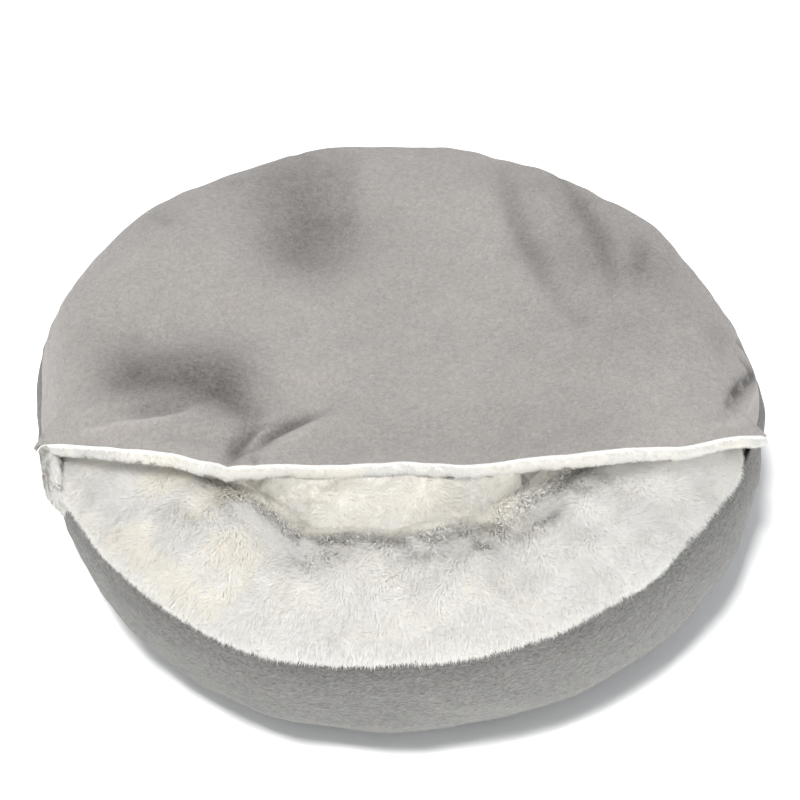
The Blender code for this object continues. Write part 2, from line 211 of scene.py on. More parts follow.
def ordered_level(level, points, near):
    """The points of one level in anticlockwise order, from the back of the bed."""
    if len(level) == 1:
        return level * COLUMNS
    apart = {at: (azimuth_of(points[at]) - 90.0) % 360.0 for at in level}
    start = min(level, key=lambda at: min(apart[at], 360.0 - apart[at]))
    beside = [at for at in near[start] if at in apart]
    walk = [start, min(beside, key=lambda at: (apart[at] - apart[start]) % 360.0)]
    while len(walk) < len(level):
        walk.append(next(at for at in near[walk[-1]] if at in apart and at != walk[-2]))
    return walk


def wall_grid():
    """Outer face of the wall's solid: rows from its top down to its foot, by column."""
    body = welded("wall_panel")
    points = np.array([v.co for v in body.verts])
    body.free()
    column = np.round(azimuth_of(points) * COLUMNS / 360.0).astype(int) % COLUMNS
    away = np.hypot(np.hypot(points[:, 0], points[:, 1]) - RING_RADIUS, points[:, 2] - RING_LEVEL)
    grid = []
    for at in range(COLUMNS):
        here = np.flatnonzero(column == at)
        here = here[np.argsort(-turn_of(points[here]))]
        pairs = here.reshape(-1, 2)
        outer = [pair[np.argmax(away[pair])] for pair in pairs]
        grid.append(points[outer])
    return np.array(grid).transpose(1, 0, 2)


def section_point(azimuth, turn, distance):
    """A point of the ring at a distance from its middle line."""
    turn = np.radians(turn)
    return round_axis(np.radians(azimuth), RING_RADIUS + distance * np.cos(turn),
                      RING_LEVEL + distance * np.sin(turn))


def ring_face(node):
    """Distance of the bolster's face from the ring's middle line, by turn and azimuth."""
    body = welded(node)
    tree = BVHTree.FromBMesh(body)
    turns = np.arange(-90.0, 270.0, TURN_STEP)
    table = np.zeros((len(turns), COLUMNS))
    for row, turn in enumerate(turns):
        for column in range(COLUMNS):
            azimuth = column * 360.0 / COLUMNS
            start = Vector(section_point(azimuth, turn, 0.16))
            middle = Vector(section_point(azimuth, turn, 0.0))
            hit = tree.ray_cast(start, middle - start)[0]
            table[row, column] = (hit - middle).length
    body.free()
    for _ in range(2):
        table = 0.5 * table + 0.25 * (np.roll(table, 1, axis=0) + np.roll(table, -1, axis=0))
    return Loft(np.concatenate([table, table[:4]])[..., None])


WALL_GRID = wall_grid()


# ---- building meshes ----

def ring_faces(counts, close=False):
    """Faces between rings of points, each as many as the one before, twice, half, or a single
    middle point. They face up where the rings run outward anticlockwise."""
    starts = np.concatenate([[0], np.cumsum(counts)])
    last = len(counts) - 1
    faces = []

    def add(*corners):
        faces.extend(np.stack(corners, axis=1).tolist())

    for first, second in [(at, at + 1) for at in range(last)] + [(last, 0)] * close:
        inner, outer = counts[first], counts[second]
        base, top = starts[first], starts[second]
        at = np.arange(max(inner, outer) if 1 in (inner, outer) else min(inner, outer))
        after = (at + 1) % len(at)
        if inner == outer:
            add(base + at, top + at, top + after, base + after)
        elif inner == 1:
            add(base + 0 * at, top + at, top + after)
        elif outer == 1:
            add(base + at, top + 0 * at, base + after)
        elif outer == 2 * inner:
            add(base + at, top + 2 * at, top + 2 * at + 1)
            add(base + at, top + 2 * at + 1, base + after)
            add(base + after, top + 2 * at + 1, top + 2 * after)
        else:
            add(top + at, base + 2 * at + 1, base + 2 * at)
            add(top + after, base + 2 * at + 1, top + at)
            add(top + after, base + 2 * after, base + 2 * at + 1)
    return faces


def to_triangles(faces):
    """Faces as an array of triangles."""
    threes, fours = (np.array([face for face in faces if len(face) == size], int).reshape(-1, size)
                     for size in (3, 4))
    return np.concatenate([fours[:, [0, 1, 2]], fours[:, [0, 2, 3]], threes])


class Skin:
    """Points and faces of a piece while it is shaped."""

    def __init__(self, points, faces):
        self.points, self.faces = points, faces
        self.triangles = to_triangles(faces)

    def normals(self):
        first, second, third = (self.points[self.triangles[:, at]] for at in range(3))
        across = np.cross(second - first, third - first)
        total = np.zeros_like(self.points)
        for at in range(3):
            np.add.at(total, self.triangles[:, at], across)
        return unit(total)

    def push(self, heights):
        """Move the points along their normals."""
        self.points = self.points + self.normals() * heights[:, None]


def placed(name, data):
    """An object of a mesh, camera or light, put in the scene."""
    thing = bpy.data.objects.new(name, data)
    bpy.context.scene.collection.objects.link(thing)
    return thing


def mount(piece, slot, replaces=()):
    """Let a piece ride on the part's one body, gathered with those that are lit alike."""
    BED.objects.link(piece)
    if slot.startswith("plush"):
        SOFT.objects.link(piece)
    if slot == "plush_cushion" or piece.name == "ring_pile_inside":
        INNER.objects.link(piece)
    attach(piece, "root")
    if replaces:
        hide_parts(*replaces)


def piece_of(name, points, faces, materials, slot, replaces=()):
    """A piece made of points and faces, mounted on the part."""
    mesh = bpy.data.meshes.new(name)
    mesh.from_pydata(points.tolist(), [], faces)
    mesh.shade_smooth()
    for material in materials:
        mesh.materials.append(material)
    piece = placed(name, mesh)
    mount(piece, slot, replaces)
    return piece


def with_back(points, normals, counts, step):
    """Rings of a suede sheet with its back added from every so many of them: the points, the
    counts, and which points the back was made from."""
    starts = np.concatenate([[0], np.cumsum(counts)])
    under = range(len(counts) - 1, -1, -step)
    picked = np.concatenate([np.arange(starts[at], starts[at + 1]) for at in under])
    points = np.concatenate([points, points[picked] - SUEDE * normals[picked]])
    return points, counts + [counts[at] for at in under], picked


def set_shade(piece, values):
    """How much painted shade darkens the colour at each point, for the piece's material; under 0 it is
    painted highlight.
    """
    attribute = piece.data.attributes.new("painted_shade_and_highlight", "FLOAT", "POINT")
    attribute.data.foreach_set("value", np.asarray(values, np.float32))


# ---- materials ----

def node_tree(name):
    material = bpy.data.materials.new(name)
    material.use_nodes = True
    tree = material.node_tree
    return material, tree, tree.nodes["Principled BSDF"]


def fill(node, values):
    """Give a node's sockets their constants."""
    for socket, value in values.items():
        node.inputs[socket].default_value = value


def noise(tree, vector, scale, detail=2.0, roughness=0.5, distortion=0.0):
    node = tree.nodes.new("ShaderNodeTexNoise")
    fill(node, {"Scale": scale, "Detail": detail, "Roughness": roughness, "Distortion": distortion})
    tree.links.new(vector, node.inputs["Vector"])
    return node.outputs["Fac"]


def maths(tree, operation, first, second=0.0):
    node = tree.nodes.new("ShaderNodeMath")
    node.operation = operation
    for socket, value in zip(node.inputs, (first, second)):
        if isinstance(value, bpy.types.NodeSocket):
            tree.links.new(value, socket)
        else:
            socket.default_value = value
    return node.outputs[0]


def uneven(tree, terms):
    """1 plus the sum of (value - 0.5) * weight over the terms."""
    total = 1.0
    for value, weight in terms:
        part = maths(tree, "MULTIPLY", maths(tree, "SUBTRACT", value, 0.5), weight)
        total = maths(tree, "ADD", part, total)
    return total


def coloured(tree, shader, colour, lightness):
    """Give a shader its colour, made lighter or darker by a factor."""
    scaled = tree.nodes.new("ShaderNodeVectorMath")
    scaled.operation = "SCALE"
    scaled.inputs[0].default_value = colour
    tree.links.new(lightness, scaled.inputs["Scale"])
    tree.links.new(scaled.outputs[0], shader.inputs["Base Color"])


def bumped(tree, shader, height, distance, strength=0.7):
    bump = tree.nodes.new("ShaderNodeBump")
    fill(bump, {"Strength": strength, "Distance": distance})
    tree.links.new(height, bump.inputs["Height"])
    tree.links.new(bump.outputs["Normal"], shader.inputs["Normal"])


def suede(name, colour, pebble, squash=1.0):
    """Brushed suede: blotchy brushed tone, fine grain and a soft pebbled surface, squashed in height,
    with painted shade.
    """
    material, tree, shader = node_tree(name)
    mapping = tree.nodes.new("ShaderNodeMapping")
    mapping.inputs["Scale"].default_value = (1.0, 1.0, squash)
    tree.links.new(tree.nodes.new("ShaderNodeTexCoord").outputs["Object"], mapping.inputs["Vector"])
    place = mapping.outputs["Vector"]
    blotches = noise(tree, place, 9.0, 3.0, 0.55)
    brushed = noise(tree, place, 45.0, 3.0, 0.6, 0.6)
    fine = noise(tree, place, 900.0, 2.0, 0.6)
    cells = noise(tree, place, 270.0, 2.0, 0.5, 0.8)
    tone = uneven(tree, [(blotches, 0.26), (brushed, 0.15), (fine, 0.45), (cells, 0.60 * pebble)])
    # The colour loses the piece's painted shade, and gains painted highlight where that is under 0.
    painted_shading_node = tree.nodes.new("ShaderNodeAttribute")
    painted_shading_node.attribute_name = "painted_shade_and_highlight"
    coloured(tree, shader, colour, maths(tree, "SUBTRACT", tone, painted_shading_node.outputs["Fac"]))
    grain = maths(tree, "MULTIPLY", fine, 0.3)
    height = maths(tree, "ADD", maths(tree, "MULTIPLY", cells, pebble), grain)
    bumped(tree, shader, height, 0.0020, 0.9)
    fill(shader, {"Roughness": 0.9, "Specular IOR Level": 0.15, "Sheen Weight": 0.2,
                  "Sheen Roughness": 0.5})
    return material


def strands(name, colour):
    """One shade of the plush's strands."""
    material, _, shader = node_tree(name)
    fill(shader, {"Base Color": (*colour, 1.0), "Roughness": 0.95, "Specular IOR Level": 0.1})
    return material


def undercoat(name, colour):
    """The dense base of the plush, seen between its strands."""
    material, tree, shader = node_tree(name)
    place = tree.nodes.new("ShaderNodeTexCoord").outputs["Object"]
    tufts = noise(tree, place, 260.0, 3.0, 0.6, 0.4)
    coloured(tree, shader, colour, uneven(tree, [(tufts, 0.12)]))
    bumped(tree, shader, tufts, 0.002)
    fill(shader, {"Roughness": 0.95, "Specular IOR Level": 0.1})
    return material


WHITE, SOFT_WHITE, CREAM, PAINTED_SHADE, PAINTED_LIGHT_WHITE, PAINTED_LIGHT_CREAM = range(6)
PLUSH = [strands("plush_white", (0.80, 0.795, 0.775)),
         strands("plush_soft_white", (0.74, 0.73, 0.70)),
         strands("plush_cream", (0.85, 0.815, 0.735)),
         # Darker strands, scattered at random: painted shade for the shadows between the tufts.
         strands("plush_painted_shade", (0.62, 0.58, 0.51)),
         # Lighter copies of the white and cream strands: painted light for plush that lies in the
         # hood's shade.
         strands("plush_painted_light_white", (0.965, 0.955, 0.925)),
         strands("plush_painted_light_cream", (0.95, 0.925, 0.86))]


# ---- the strands of the pile ----

class Pile:
    """Strands gathered into one mesh: each a narrow blade, bent or straight, that ends in a point."""

    def __init__(self):
        self.points, self.normals, self.faces, self.shades = [], [], [], []
        self.total = 0

    def add(self, root, normal, lay, length, width, lift, droop, shade, bent):
        """lift is a strand's angle off the surface at its root and droop how far it bends over
        by its tip, in radians. shade is the number of its material."""
        lay = unit(lay - normal * (lay * normal).sum(-1, keepdims=True))
        side = unit(np.cross(lay, normal))
        length, half, lift, droop = (value[:, None] for value in (length, 0.5 * width, lift, droop))
        start = np.cos(lift) * lay + np.sin(lift) * normal
        end = np.cos(lift - droop) * lay + np.sin(lift - droop) * normal
        points = [root - half * side, root + half * side]
        normals = [unit(normal - 0.22 * side), unit(normal + 0.22 * side)]
        if bent:
            middle = root + 0.5 * length * start
            points += [middle - 0.8 * half * side, middle + 0.8 * half * side,
                       middle + 0.5 * length * end]
            normals += normals
            corners = np.array([[0, 1, 3], [0, 3, 2], [2, 3, 4]])
        else:
            points.append(root + length * unit(start + end))
            corners = np.array([[0, 1, 2]])
        number = self.total + len(points) * np.arange(len(root))[:, None, None]
        self.points.append(np.stack(points, axis=1).reshape(-1, 3))
        self.normals.append(np.stack(normals + [normal], axis=1).reshape(-1, 3))
        self.faces.append((number + corners).reshape(-1, 3))
        self.shades.append(np.repeat(shade, len(corners)))
        self.total += len(root) * len(points)

    def piece(self, name, slot):
        faces = np.concatenate(self.faces).tolist()
        made = piece_of(name, np.concatenate(self.points), faces, PLUSH, slot)
        made.data.polygons.foreach_set("material_index", np.concatenate(self.shades).astype(np.int32))
        made.data.normals_split_custom_set_from_vertices(np.concatenate(self.normals).tolist())


def scatter(skin, count, rng, density):
    """Roots spread over a skin by a density read at its triangles: places and normals."""
    points, triangles, normals = skin.points, skin.triangles, skin.normals()
    first, second, third = (points[triangles[:, at]] for at in range(3))
    area = 0.5 * np.linalg.norm(np.cross(second - first, third - first), axis=1)
    edges = np.cumsum(area * density(points[triangles].mean(axis=1)))
    picks = (np.arange(count) + rng.random(count)) * edges[-1] / count
    chosen = triangles[np.minimum(np.searchsorted(edges, picks), len(triangles) - 1)]
    one, two = rng.random((2, count, 1))
    over = one + two > 1.0
    one, two = np.where(over, 1.0 - one, one), np.where(over, 1.0 - two, two)
    shares = (1.0 - one - two, one, two)
    root = sum(share * points[chosen[:, at]] for at, share in enumerate(shares))
    normal = unit(sum(share * normals[chosen[:, at]] for at, share in enumerate(shares)))
    return root, normal


def swirled(lay, normal, angle):
    """lay turned about the normal by an angle in radians."""
    angle = angle[:, None]
    return np.cos(angle) * lay + np.sin(angle) * np.cross(normal, lay)


# ---- camera, lights and floor ----

def make_camera():
    """The camera in front of the bed, looking down at a point of its axis."""
    data = bpy.data.cameras.new("camera")
    data.lens, data.sensor_width = 84.5, 36.0
    data.shift_x, data.shift_y = 0.0075, 0.03
    camera = placed("camera", data)
    elevation, distance, height = math.radians(45.5), 1.6, 0.08
    camera.location = (0.0, -distance * math.cos(elevation), height + distance * math.sin(elevation))
    camera.rotation_euler = (math.radians(90.0) - elevation, 0.0, 0.0)
    bpy.context.scene.camera = camera


def make_light(name, place, size, power, colour, receivers, blockers=None):
    """A soft square light aimed at the bed, which lights only its receivers. Blockers are all
    that shade them from it, if they are given."""
    data = bpy.data.lights.new(name, "AREA")
    data.size, data.energy, data.color = size, power, colour
    light = placed(name, data)
    light.location = place
    aim = Vector((0.0, 0.0, 0.05)) - Vector(place)
    light.rotation_euler = aim.to_track_quat("-Z", "Y").to_euler()
    light.light_linking.receiver_collection = receivers
    light.light_linking.blocker_collection = blockers


def make_stage():
    """The studio's soft sky, its lights and its floor."""
    bpy.context.scene.view_settings.view_transform = "Standard"
    world = bpy.data.worlds.new("studio")
    world.use_nodes = True
    background = world.node_tree.nodes["Background"]
    fill(background, {"Color": (0.95, 0.975, 1.0, 1.0), "Strength": 0.52})
    bpy.context.scene.world = world
    # The backdrop itself is white, whatever light it gives.
    tree = world.node_tree
    white = tree.nodes.new("ShaderNodeBackground")
    mixed = tree.nodes.new("ShaderNodeMixShader")
    seen = tree.nodes.new("ShaderNodeLightPath").outputs["Is Camera Ray"]
    for at, source in enumerate((seen, background.outputs[0], white.outputs[0])):
        tree.links.new(source, mixed.inputs[at])
    tree.links.new(mixed.outputs[0], tree.nodes["World Output"].inputs["Surface"])
    make_light("key", (-1.25, -0.45, 2.4), 1.1, 40.0, (1.0, 0.985, 0.965), BED)
    make_light("side", (1.40, -1.30, 1.2), 0.9, 19.0, (1.0, 0.99, 0.98), BED)
    make_light("floor_key", (-0.40, -0.95, 2.7), 0.6, 116.0, (1.0, 0.985, 0.96), FLOOR)
    make_light("front", (-0.40, -2.05, 1.30), 0.8, 16.0, (1.0, 0.985, 0.96), SOFT)
    make_light("inner", (0.00, -1.20, 2.30), 0.8, 44.0, (1.0, 0.985, 0.96), INNER, INNER)
    mesh = bpy.data.meshes.new("floor")
    mesh.from_pydata([(-6, -6, 0), (6, -6, 0), (6, 6, 0), (-6, 6, 0)], [], [(0, 1, 2, 3)])
    floor = placed("floor", mesh)
    FLOOR.objects.link(floor)
    material, _, shader = node_tree("floor")
    fill(shader, {"Base Color": (0.93, 0.94, 0.95, 1.0), "Roughness": 1.0,
                  "Emission Color": (1.0, 1.0, 1.0, 1.0), "Emission Strength": 0.06})
    mesh.materials.append(material)


# What is lit alike: all of the bed, its plush, the plush deep inside it, and the floor.
BED, SOFT, INNER, FLOOR = (bpy.data.collections.new(name)
                           for name in ("bed", "plush", "inside", "stage"))
make_camera()
make_stage()


# ---- the hood ----

def hood_rings():
    """Level and number of columns of each ring of the hood's outer ply."""
    rings = []
    for level in np.linspace(0.0, HOOD_RINGS, 105):
        count = 1 if level == 0 else COLUMNS
        while 1 < count < EDGE_COLUMNS and level / HOOD_RINGS * HOOD_GIRTH / count > HOOD_STEP:
            count *= 2
        rings.append((level, count))
    return rings


def columns_of(count):
    return np.arange(count) * COLUMNS / count


def flat_cloth(grid):
    """Where each point of a hood solid's upper face lies on the cloth when it is laid flat."""
    face = grid[:HOOD_RINGS + 1]
    steps = np.linalg.norm(np.diff(face, axis=0), axis=2)
    reach = np.concatenate([np.zeros((1, COLUMNS)), np.cumsum(steps, axis=0)])
    azimuth = np.radians(azimuth_of(face))
    azimuth[0] = azimuth[1]
    return round_axis(azimuth, reach, 0.0)[..., :2]


# Soft troughs (depth over 0) and ridges (under 0) of the hood, added to those of its solid, in
# millimetres: from one point of the flat cloth to another, how far they fade to each side, and
# their depth. The last number is painted shade there, and painted highlight where it is under 0.
FOLD_ROWS = (
    # the deep hollow on the left, and the pocket beside the folds of the hem
    (-204, -52, -143, -52, 27, 5.5, 0.50),
    (-200, -30, -140, -36, 34, 3.0, 0.22),
    (-132, -66, -116, -80, 12, 4.0, 0.28),
    (-170, -120, -140, -118, 10, 1.5, 0.09),
    # soft dents and short puckers behind the middle
    (-80, 120, -66, 140, 32, 2.5, 0.27),
    (-105, 175, -70, 190, 30, 1.0, 0.13),
    (-207, 152, -198, 140, 8, 2.2, 0.15),
    (-39, 236, -41, 150, 7, 1.4, 0.10),
    (-92, 262, -72, 225, 6, 1.2, 0.12),
    (-58, 255, -52, 205, 5, 1.0, 0.08),
    (20, 270, 26, 245, 6, 0.8, 0.05),
    (-160, 220, -140, 195, 6, 1.2, 0.08),
    (138, 110, 205, 85, 30, 1.0, 0.14),
    # patches of painted shade alone, with no fold under them
    (-98, 200, -70, 110, 36, 0.0, 0.22),
    (-60, 165, -20, 150, 30, 0.0, 0.06),
    (-60, -105, 140, -112, 34, 0.0, 0.07),
    (200, 0, 250, 70, 50, 0.0, 0.08),
    (130, 180, 185, 100, 36, 0.0, 0.08),
)

# Narrow creases that taper: their line over the flat cloth, then fade, depth and painted shade
# as above, and how much of them is left at the first and at the last point.
CREASE_ROWS = (
    # the ridge in front of the left hollow, and the fall behind it
    (((-244, -107), (-222, -109.5), (-200, -107), (-178, -101), (-160, -90), (-143, -81), (-126, -83)),
     4.0, -2.8, -0.17, 0.6, 0.0),
    (((-222, -96), (-195, -94), (-172, -86), (-150, -70)), 9.0, 4.0, 0.24, 0.0, 0.6),
    # the folds that run back from the hem
    (((-128, -144), (-120, -117), (-109, -96), (-92, -80)), 6.6, 6.5, 0.44, 0.4, 0.0),
    (((-119, -124), (-107, -105), (-90, -91)), 3.6, -3.6, -0.16, 0.1, 0.0),
    (((-110, -122), (-95, -101), (-80, -88), (-64, -77), (-44, -64)), 5.2, 7.0, 0.44, 0.2, 0.0),
    (((-101, -130), (-82, -104), (-58, -87), (-24, -74)), 7.5, -3.6, -0.10, 0.3, 0.0),
    (((-106, -142), (-110, -126)), 3.6, 2.4, 0.28, 0.3, 0.0),
    # the pulls that spread forward from the back on the right
    (((96, 228), (103, 180), (110, 136), (128, 72), (152, 16)), 9.2, 3.8, 0.28, 0.3, 0.3),
    (((126, 205), (136, 140), (150, 80)), 7.5, -2.2, -0.05, 0.0, 0.0),
    (((148, 216), (164, 168), (177, 117), (183, 56)), 8.0, 4.0, 0.31, 0.35, 0.3),
    (((150, 240), (154, 204)), 4.6, 1.4, 0.24, 0.4, 0.0),
    (((214, 126), (209, 92), (203, 54)), 7.0, 3.2, 0.24, 0.3, 0.3),
    (((191, 138), (195, 96), (194, 58)), 6.6, -2.0, -0.04, 0.0, 0.0),
    # the right corner, where the hood is drawn down to its seam
    (((331, 14), (313, -10), (292, -36), (277, -59), (256, -92)), 5.2, 6.5, 0.56, 1.0, 0.1),
    (((336, 2), (306, -36), (292, -62), (270, -90), (232, -108)), 4.4, -4.2, -0.15, 1.0, 0.1),
    (((322, 26), (302, 20), (284, 12)), 4.0, 4.2, 0.44, 1.0, 0.0),
    (((322, 2), (304, -2), (286, 0)), 3.8, 4.0, 0.42, 1.0, 0.0),
    (((306, 50), (275, 40)), 7.0, 2.6, 0.18, 0.5, 0.0),
    (((284, 30), (268, 0), (262, -30)), 13.0, 1.8, 0.16, 0.0, 0.0),
)


def folds(flat, widen=0.0):
    """Depth of the folds at points of the flat cloth, and their painted shade and highlight.

    With widen the troughs reach that much further, and there are no ridges."""
    trough, ridge, painted_shading, light = np.zeros((4, len(flat)))
    strokes = [((row[:2], row[2:4]), *row[4:], 1.0, 1.0) for row in FOLD_ROWS]
    for line, fade, deep, shade, first, last in strokes + list(CREASE_ROWS):
        line = np.array(line) / 1000.0
        runs = np.diff(line, axis=0)
        lengths = np.linalg.norm(runs, axis=1)
        gap, along = np.full(len(flat), 9.0), np.zeros(len(flat))
        for at, run in enumerate(runs):
            part, away = stroke(flat, line[at], run)
            along = np.where(away < gap, lengths[:at].sum() + part * lengths[at], along)
            gap = np.minimum(gap, away)
        along /= lengths.sum()
        left = first + (1.0 - first) * smooth(0.0, 0.4, along)
        left = left * (last + (1.0 - last) * smooth(1.0, 0.5, along))
        fade = fade / 1000.0 * (0.65 + 0.35 * left)
        here = 0.001 * deep * left * bell(np.maximum(gap - widen, 0.0), fade)
        trough, ridge = np.maximum(trough, here), np.minimum(ridge, here)
        # Painted shade of this stroke darkens the colour; under 0, on a ridge, it is painted highlight
        # (light).
        tone = shade * left * bell(gap, 1.2 * fade)
        painted_shading = 1.0 - (1.0 - painted_shading) * (1.0 - np.maximum(tone, 0.0))
        light = np.minimum(light, tone)
    return trough + ridge * (widen == 0.0), painted_shading + light


HOOD_GRID = levels_grid("hood_shell")
HOOD_FACE = Loft(HOOD_GRID[:HOOD_RINGS + 1])
HOOD_FLAT = Loft(flat_cloth(HOOD_GRID))
HOOD_WAVES = (Waves(3, 0.110), Waves(4, 0.035), Waves(5, 0.016))


def hood_surface(level, column, widen=0.0):
    """Points of the hood's outer face with its folds, the outward normals, and the folds' painted
    shade and highlight.
    """
    step = 0.06
    above, near = np.minimum(level + step, HOOD_RINGS), np.maximum(level, step)
    along = HOOD_FACE(above, column) - HOOD_FACE(near - step, column)
    around = HOOD_FACE(near, column + step) - HOOD_FACE(near, column - step)
    normal = unit(np.cross(along, around))
    flat = HOOD_FLAT(level, column)
    place = np.column_stack([flat, np.zeros(len(flat))])
    broad, small, gather = HOOD_WAVES
    edge = level / HOOD_RINGS
    base = HOOD_FACE(level, column)
    sewn = 1.0 - open_front(azimuth_of(base), 3.0)
    reach = np.hypot(flat[:, 0], flat[:, 1])
    arc = np.arctan2(flat[:, 1], flat[:, 0]) * reach
    puckers = 0.0004 * gather(np.column_stack([arc, 0.15 * reach, 0.0 * reach]))
    puckers *= smooth(0.88, 0.96, edge) * smooth(1.0, 0.985, edge) * sewn
    depth, painted_shading = folds(flat, widen)
    behind = smooth(8.0, 20.0, azimuth_of(base)) * smooth(190.0, 178.0, azimuth_of(base))
    free = 1.0 - smooth(0.90 - 0.08 * behind, 0.995 - 0.04 * behind, edge) * sewn
    height = (0.0012 * broad(place) + 0.0004 * small(place) - depth) * free + puckers
    return base + normal * height[:, None], normal, painted_shading


def stacked(rings):
    """Counts, levels and columns of every point of rings given as (level, count)."""
    counts = [count for _, count in rings]
    level = np.concatenate([np.full(count, level) for level, count in rings])
    column = np.concatenate([columns_of(count) for count in counts])
    return counts, level, column


def make_hood(material):
    """The hood's suede sheet with its folds and their painted shade and highlight."""
    counts, level, column = stacked(hood_rings())
    points, normals, shade = hood_surface(level, column)
    points, counts, picked = with_back(points, normals, counts, 4)
    piece = piece_of("hood", points, ring_faces(counts), [material], "suede_hood", ["hood_shell"])
    # Painted shade and highlight of the folds, for the suede's colour.
    set_shade(piece, np.concatenate([shade, shade[picked]]))
    return piece


HOOD_SUEDE = suede("hood_suede", (0.405, 0.379, 0.360), 0.8)
# Painted shade: the wall's suede has the hood's colour made darker, for the wall's front, which lies
# in shade; its coarser pebble is its own.
WALL_SUEDE = suede("wall_suede", (0.252, 0.248, 0.236), 1.8, 1.9)
hood = make_hood(HOOD_SUEDE)


# ---- the wall and the base ----

def make_wall(material):
    """The wall's suede sheet, gathered at its foot, from its top down."""
    levels = np.linspace(0.0, len(WALL_GRID) - 1.0, 64)
    counts, level, column = stacked([(level, FINE_COLUMNS) for level in levels])
    skin = Skin(Loft(WALL_GRID)(level, column), ring_faces(counts))
    part = level / level[-1]
    azimuth = np.radians(azimuth_of(skin.points))
    place = round_axis(azimuth, WALL_RADIUS, 1.4 * part * WALL_HEIGHT)
    broad, fine = Waves(6, 0.090), Waves(7, 0.022, (1.6, 1.6, 0.7))
    inside = smooth(0.0, 0.10, part) * smooth(1.0, 0.92, part)
    gathers = Waves(8, 0.014, (1.0, 1.0, 6.0))(place)
    height = inside * (0.0007 * broad(place) + 0.00035 * fine(place))
    height += 0.0005 * gathers * smooth(0.75, 0.95, part) * smooth(1.0, 0.96, part)
    skin.push(height)
    points, counts, picked = with_back(skin.points, skin.normals(), counts, 7)
    piece = piece_of("wall", points, ring_faces(counts, close=True), [material],
                     "suede_wall", ["wall_panel"])
    # Painted shadow: the wall is darker near its top, under the plush that hangs over the seam.
    painted_shading = 0.20 * bell(part - 0.02, 0.16)
    set_shade(piece, np.concatenate([painted_shading, painted_shading[picked]]))
    return piece


def make_base(material):
    """The flat bottom as a closed disc, from the middle of its upper face to that of its lower."""
    radii = [0.0, 0.06, 0.12, 0.17, 0.21, 0.235, 0.2455, 0.2455, 0.235, 0.21, 0.12, 0.0]
    heights = [0.0024] * 6 + [0.0020, 0.0006] + [0.0002] * 4
    counts = [1 if radius == 0 else 144 for radius in radii]
    points = []
    for radius, height, count in zip(radii, heights, counts):
        angle = np.arange(count) * 2.0 * math.pi / count
        points.append(round_axis(angle, radius, height))
    return piece_of("base", np.concatenate(points), ring_faces(counts), [material],
                    "suede_base", ["base_panel"])


wall = make_wall(WALL_SUEDE)
base = make_base(WALL_SUEDE)


# ---- the stuffed ring ----

# Soft creases across the ring: azimuth and turn at one end and at the other, the width over
# which they fade, in metres, and their depth.
RING_CREASE_ROWS = (
    (293.0, 70.0, 300.0, 128.0, 0.010, 0.0028),
    (252.0, 84.0, 247.0, 134.0, 0.010, 0.0022),
    (223.0, 70.0, 228.0, 120.0, 0.012, 0.0018),
    (318.0, 62.0, 312.0, 112.0, 0.012, 0.0010),
    (272.0, 98.0, 268.0, 150.0, 0.010, 0.0014),
)


def crease_depth(azimuth, turn):
    """Depth of the ring's creases, with each crease measured on the unrolled ring."""
    scale = np.array([RING_RADIUS, SECTION_RADIUS])
    flat = np.radians(np.column_stack([azimuth, turn])) * scale
    depth = np.zeros(len(azimuth))
    for *ends, fade, deep in RING_CREASE_ROWS:
        start, end = np.radians(np.reshape(ends, (2, 2))) * scale
        depth += deep * bell(stroke(flat, start, end - start)[1], fade)
    return depth


def make_bolster():
    """The ring's undercoat, set in by its pile, with its creases and soft lumps."""
    turns = np.concatenate([np.arange(264.0, 182.0, -8.0), np.arange(182.0, 16.0, -2.5),
                            np.arange(16.0, -90.0, -10.0)])
    count = FINE_COLUMNS
    turn = np.repeat(turns, count)
    azimuth = np.tile(np.arange(count) * 360.0 / count, len(turns))
    opened = open_front(azimuth)
    lip = bell(turn - 31.0 - seam_shift(azimuth), 7.0) * opened
    inset = RING_PILE * (1.0 - 0.45 * lip)
    face = ring_face("bolster")((turn + 90.0) / TURN_STEP, azimuth * COLUMNS / 360.0)[..., 0]
    distance = face - inset
    points = section_point(azimuth, turn, distance)
    lumps = Waves(21, 0.075)(points) * 0.0012 + Waves(22, 0.028)(points) * 0.0005
    shown = smooth(20.0, 45.0, turn) * smooth(210.0, 175.0, turn)
    lumps *= 1.0 - 0.5 * smooth(95.0, 120.0, turn)
    height = shown * (np.minimum(lumps, 0.002) - 0.8 * crease_depth(azimuth, turn) * opened)
    points = section_point(azimuth, turn, distance + height)
    return Skin(points, ring_faces([count] * len(turns), close=True))


ring_skin = make_bolster()
ring = piece_of("ring", ring_skin.points, ring_skin.faces,
                [undercoat("ring_undercoat", (0.86, 0.85, 0.82))], "plush_ring", ["bolster"])


def ring_lay(root, normal, seed):
    """Direction that the ring's strands lie in: outward and down in front, inward inside."""
    out, along = directions(root)
    turn = turn_of(root) + 8.0 * Waves(seed, 0.06)(root)
    outward = 1.0 - 2.0 * smooth(135.0, 170.0, turn)
    lay = out * outward[:, None] + np.array([0.0, 0.0, -0.25])
    lay += along * 0.5 * (1.0 - np.abs(outward))[:, None]
    lay = unit(lay - normal * (lay * normal).sum(-1, keepdims=True))
    angle = 0.55 * Waves(seed + 1, 0.035)(root) + 0.25 * Waves(seed + 2, 0.012)(root)
    return swirled(lay, normal, angle)


